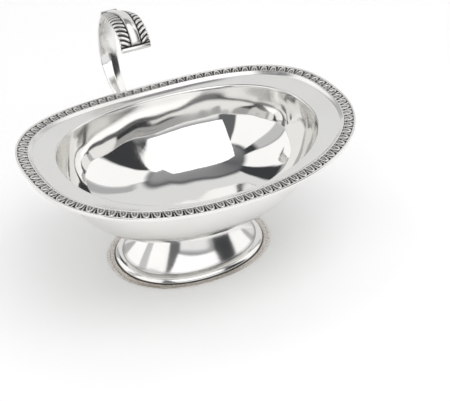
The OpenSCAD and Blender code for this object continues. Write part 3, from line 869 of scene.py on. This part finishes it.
points = [spot for spot, _ in strap_line]
strap_rows = []
for k, (spot, angle) in enumerate(strap_line):
    ahead = plate_out if k == 0 else turned(points, k)
    out = Vector((ahead.y, -ahead.x))
    taper = (angle / bow_high_angle) ** 2 if angle > 0 else (angle / bow_low_angle) ** 2
    width = strap_wide - (strap_wide - (strap_top if angle > 0 else strap_foot)) * taper
    twist = strap_twist * math.cos(quarter * min(max(angle / bow_high_angle, -1), 1)) ** 2
    narrowing = min(max((face_start - angle) / (face_start - face_end), 0.0), 1.0)
    ring = []
    for side, up in strap_section(face_wide + (face_narrow - face_wide) * narrowing):
        x = side * width / 2 * math.cos(twist) - up * strap_thick / 2 * math.sin(twist)
        p = spot + out * (up * strap_thick / 2 * math.cos(twist) + side * width / 2 * math.sin(twist))
        ring.append((Vector((x, p.x, p.y)), 0.8, 0.0))
    strap_rows.append(ring)
strap_silver = silver(
    "strap_silver", (0.86, 0.855, 0.84), 0.16, (0.3, 0.27, 0.23), mirror_roughness=0.1, wave=0.00003,
)
strap = grid_piece("handle_strap_bar", strap_rows, strap_silver)
keep(strap, "polished_silver", "handle_strap")


# Lower plate: a small oval pad, domed to a raised middle, filed to the bowl's curve and
# soldered on, with the strap's end standing on it.
plate_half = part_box("handle_lower_plate")[1].x
plate_tall = 0.007
pad_rows = []
# Each step of the pad's profile is a share of its half size and a share of its thickness.
pad_levels = [(0.02, 1.0), (0.5, 1.0), (0.62, 0.94), (0.7, 0.7), (0.74, 0.5), (0.8, 0.42), (0.92, 0.4)]
pad_levels += [(0.98, 0.28), (1.0, 0.1), (0.98, -0.05), (0.5, -0.05), (0.02, -0.05)]
for share, level in pad_levels:
    ring = []
    for turn in spread(0, 2 * math.pi, 49)[:-1]:
        x = share * plate_half * math.cos(turn)
        z = plate_root.y + share * plate_tall * math.sin(turn) * plate_up.y
        wall = Vector((x, wall_reach(x, z), z))
        raised = Vector((0, plate_out.x, plate_out.y)) * plate_thick * level
        ring.append((wall + raised, 0.3, 0.4 if 0.7 < share < 0.8 else 0.0))
    pad_rows.append(ring)
pad = grid_piece("handle_lower_pad", pad_rows, strap_silver)
keep(pad, "polished_silver", "handle_lower_plate")


# Roll and tip bar: two short round rods across the handle. The roll covers the joint between
# strap and leaf, and the bar stiffens the leaf's tip.
def rod_joint_shade(turn, joints):
    """Painted shade round a rod, darkest where its neighbours meet it, at the joints' angles."""
    reach = math.radians(38)
    away = [(turn - math.radians(joint) + math.pi) % (2 * math.pi) - math.pi for joint in joints]
    return max(bump_shape(angle, reach) for angle in away)


def cross_rod(name, node, finish, dome, joints):
    """A round rod across the handle, with domed ends and painted shade along its joints."""
    low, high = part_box(node)
    spot = (low + high) / 2
    radius = (high.z - low.z) / 2
    half = high.x
    dome_start = 0.15
    rows = []
    ends = [(-half + dome * (1 - math.cos(a)), math.sin(a)) for a in spread(dome_start, quarter, 6)]
    ends += [(half - dome * (1 - math.cos(a)), math.sin(a)) for a in spread(quarter, dome_start, 6)]
    for x, share in ends:
        size = radius - dome * (1 - share)
        rows.append([
            (Vector((x, spot.y + size * math.cos(t), spot.z + size * math.sin(t))), 0.7, rod_joint_shade(t, joints))
            for t in spread(0, 2 * math.pi, 33)[:-1]
        ])
    return grid_piece(name, rows, finish)


rod_silver = silver("rod_silver", (0.85, 0.84, 0.82), 0.16, (0.07, 0.06, 0.05), mirror_roughness=0.12)
roll = cross_rod("handle_roll_rod", "handle_roll", rod_silver, 0.0006, (140, 262))
keep(roll, "polished_silver", "handle_roll")
tip_bar = cross_rod("handle_tip_rod", "handle_leaf_tip_bar", rod_silver, 0.0009, (88,))
keep(tip_bar, "polished_silver", "handle_leaf_tip_bar")


# Leaf: a cast thumb rest, chased like a feather, with a smooth flat rib between two deep lines and rows of
# arched barbs that lean back to the roll. Tarnish fills every line, and painted shadow darkens the face where
# it meets the roll and the tip bar.
tip_middle = middle("handle_leaf_tip_bar")
tip_spot = Vector((tip_middle.y, tip_middle.z))
leaf_reach = roll_spot.x - tip_spot.x
crest_rise = 0.0074
crest = roll_spot + Vector((-0.6 * leaf_reach, crest_rise))
crest_run = Vector((0.19 * leaf_reach, 0))
leaf_back = (roll_spot, roll_spot + Vector((-0.18 * leaf_reach, 0.37 * crest_rise)), crest + crest_run, crest)
leaf_front = (crest, crest - crest_run, tip_spot + Vector((0, 0.5 * (crest.y - tip_spot.y))), tip_spot)
leaf_line = [(bezier(leaf_front, t), 1.0, 1 + t) for t in spread(1.0, 0.0, 110)[:-1]]
leaf_line += [(bezier(leaf_back, t), t, t) for t in spread(1.0, 0.0, 130)]
leaf_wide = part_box("handle_leaf")[1].x * 2
leaf_narrow = strap_top
leaf_thick = 0.0013
droop = 0.0026
barb_pitch = 0.0031
barb_sweep = 0.0036
rib_half = 0.0031
chase_depth = 0.0011
across_steps = 64
rod_clearance = 0.0018
relief_run = 0.0014
line_width = 0.00045
barb_foot = 0.0011
face_fall = 0.0003
back_share = 0.985


def barb_at(along, side, half_width):
    """Height share, edge share and tarnish of the leaf's face, at a length along it and a side from -1 to 1."""
    reach = abs(side) * half_width
    if reach < rib_half:
        shoulder = min((rib_half - reach) / line_width, 1.0)
        crown = 1.0 - 0.1 * (reach / rib_half) ** 2
        return (0.1 + 0.9 * shoulder ** 0.5) * crown, 0.0, (1 - shoulder) ** 1.5
    f = (reach - rib_half) / (half_width - rib_half)
    phase = (along - barb_sweep * (1 - (1 - f) ** 1.7)) / barb_pitch
    swell = abs(math.sin(math.pi * phase))
    ridge = swell ** 0.6 * (1 - 0.35 * (1 - swell) * f)
    foot = min((reach - rib_half) / barb_foot, 1.0)
    end = min((1 - f) / 0.16, 1.0) ** 0.5
    height = 0.95 * ridge * foot ** 0.6 * (0.5 + 0.5 * end)
    tarnish_and_shade = min(max(1.6 - 1.85 * swell * foot, 0.0), 1.0)
    return height, swell, tarnish_and_shade


line = [spot for spot, _, _ in leaf_line]
lengths = [0.0]
for k in range(1, len(line)):
    lengths.append(lengths[-1] + (line[k] - line[k - 1]).length)
leaf_rows = []
for k, (spot, widen, travel) in enumerate(leaf_line):
    ahead = turned(line, k)
    out = Vector((-ahead.y, ahead.x))
    half_width = (leaf_narrow + (leaf_wide - leaf_narrow) * math.sin(quarter * min(widen, 1.0)) ** 1.5) / 2
    bend = droop * math.sin(quarter * travel)
    from_rod = min(lengths[k], lengths[-1] - lengths[k])
    clear = min(max((from_rod - rod_clearance) / relief_run, 0.0), 1.0)
    top = []
    bottom = []
    for j in range(across_steps + 1):
        side = 2 * j / across_steps - 1
        height, ridge, tarnish_and_shade = barb_at(lengths[k], side, half_width)
        height *= clear ** 0.7
        # Next to the roll and the tip bar the face is darkened with painted shadow.
        tarnish_and_shade = max(tarnish_and_shade, (1 - clear) ** 0.7)
        wavy = 1.0 - 0.085 * (1 - ridge) ** 2 * abs(side) ** 3
        x = side * half_width * wavy
        lowered = bend * side * side
        face = spot + out * (leaf_thick / 2 - lowered - face_fall + chase_depth * height)
        back = spot - out * (leaf_thick / 2 + lowered)
        top.append((Vector((x, face.x, face.y)), 0.4, tarnish_and_shade))
        # The leaf's back is darkened a little all over.
        bottom.append((Vector((x * back_share, back.x, back.y)), 0.2, 0.1))
    leaf_rows.append(top + bottom[::-1])
leaf_silver = silver("leaf_silver", (0.85, 0.84, 0.82), 0.18, (0.028, 0.024, 0.02))
leaf = grid_piece("handle_leaf_feather", leaf_rows, leaf_silver)
keep(leaf, "oxidised_silver", "handle_leaf")
